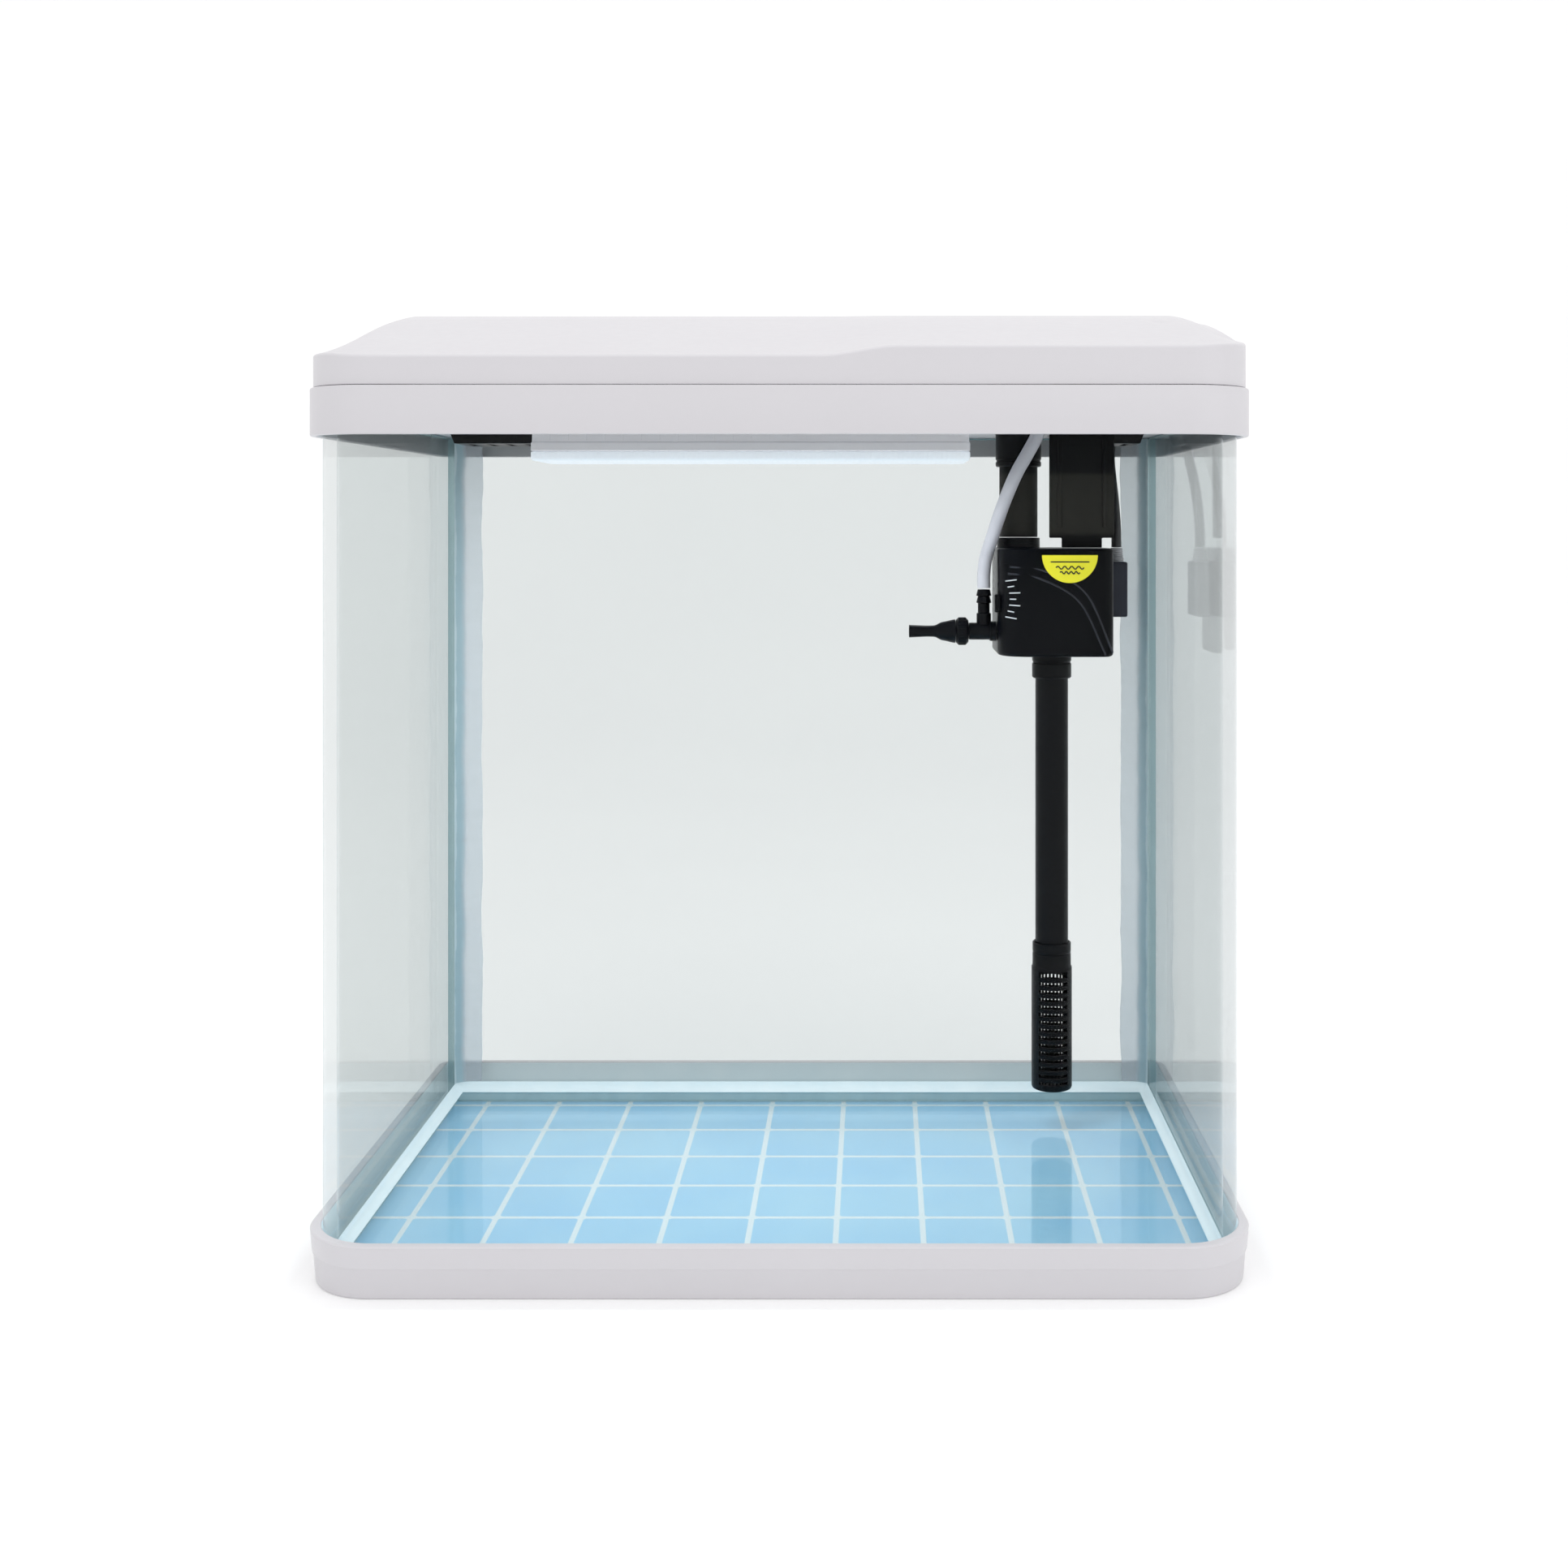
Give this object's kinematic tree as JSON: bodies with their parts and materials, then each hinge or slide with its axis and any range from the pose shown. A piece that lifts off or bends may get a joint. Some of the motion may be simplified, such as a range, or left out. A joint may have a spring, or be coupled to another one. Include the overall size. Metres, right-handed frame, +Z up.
{
  "type": "desktop aquarium",
  "caption": "Desktop aquarium with bent front glass, moulded base tray, and a lift-off hood with hinged flap, lamp, top filter and hanging pump.",
  "frame": {"origin": "middle of the base tray's underside", "axes": "+X to the right seen from the front, -Y out of the bent front glass, +Z up"},
  "size_m": [0.35, 0.222, 0.3715],
  "materials": {
    "white_plastic": "satin moulded white plastic",
    "lamp_plastic": "matt light grey plastic",
    "black_plastic": "satin black moulded plastic",
    "motor_resin": "matt blue-grey potting resin",
    "impeller_plastic": "translucent white moulding",
    "glass": "clear float glass, pale green-blue at its edges",
    "silicone": "clear silicone sealant",
    "tile_print": "printed film, blue squares with white lines",
    "diffuser": "frosted diffuser",
    "board": "white solder mask",
    "sponge": "open black foam",
    "label": "yellow vinyl label",
    "hose": "translucent silicone hose",
    "lead": "black cable sheath",
    "lamp_lead": "white cable sheath",
    "grommet": "grey rubber",
    "steel": "stainless steel",
    "core": "laminated iron core with winding",
    "magnet": "sintered ferrite",
    "ceramic": "polished ceramic"
  },
  "bodies": {
    "tank": {"base_tray": "white_plastic", "tile_sheet": "tile_print", "bottom_glass": "glass", "front_glass": "glass", "back_glass": "glass", "bottom_seam": "silicone", "corner_seam_left": "silicone", "corner_seam_right": "silicone"},
    "hood": {"air_hose": "hose", "air_valve": "lamp_plastic", "cable_gland": "lead", "filter_sponge": "sponge", "filter_tray": "black_plastic", "front_bush": "grommet", "hanger_plate": "black_plastic", "hinge_pin_left": "steel", "hinge_pin_right": "steel", "hood_frame": "white_plastic", "intake_collar": "black_plastic", "intake_tube": "black_plastic", "junction_box": "lamp_plastic", "junction_lid": "lamp_plastic", "lamp_diffuser": "diffuser", "lamp_housing": "lamp_plastic", "lamp_lead": "lamp_lead", "lamp_screw_left": "steel", "lamp_screw_right": "steel", "lead_grommet": "grommet", "led_board": "board", "level_label": "label", "motor_block": "motor_resin", "outlet_pipe": "black_plastic", "pump_front_cover": "black_plastic", "pump_housing": "black_plastic", "pump_lead": "lead", "pump_shaft": "ceramic", "rear_bush": "grommet", "rear_cover": "white_plastic", "riser_pipe": "black_plastic", "riser_sleeve": "black_plastic", "stator_core": "core", "strainer": "black_plastic", "tray_grille": "black_plastic"},
    "flap": {"flap_cover": "white_plastic"},
    "rotor": {"impeller": "impeller_plastic", "rotor_magnet": "magnet"},
    "nozzle": {"nozzle_nut": "black_plastic", "jet_nozzle": "black_plastic"}
  },
  "joints": [
    {"name": "hood_lift", "type": "slide", "parent": "tank", "child": "hood", "axis": [0, 0, 1], "range_m": [0, 0.31]},
    {"name": "flap_hinge", "type": "hinge", "parent": "hood", "child": "flap", "pos_m": [0, 0.08, 0.36467], "axis": [-1, 0, 0], "range_deg": [0, 90]},
    {"name": "rotor_spin", "type": "hinge", "parent": "hood", "child": "rotor", "pos_m": [0.0955, 0.068, 0.25], "axis": [1, 0, 0], "continuous": true},
    {"name": "nozzle_turn", "type": "hinge", "parent": "hood", "child": "nozzle", "pos_m": [0.078, 0.058, 0.231], "axis": [1, 0, 0], "continuous": true}
  ]
}
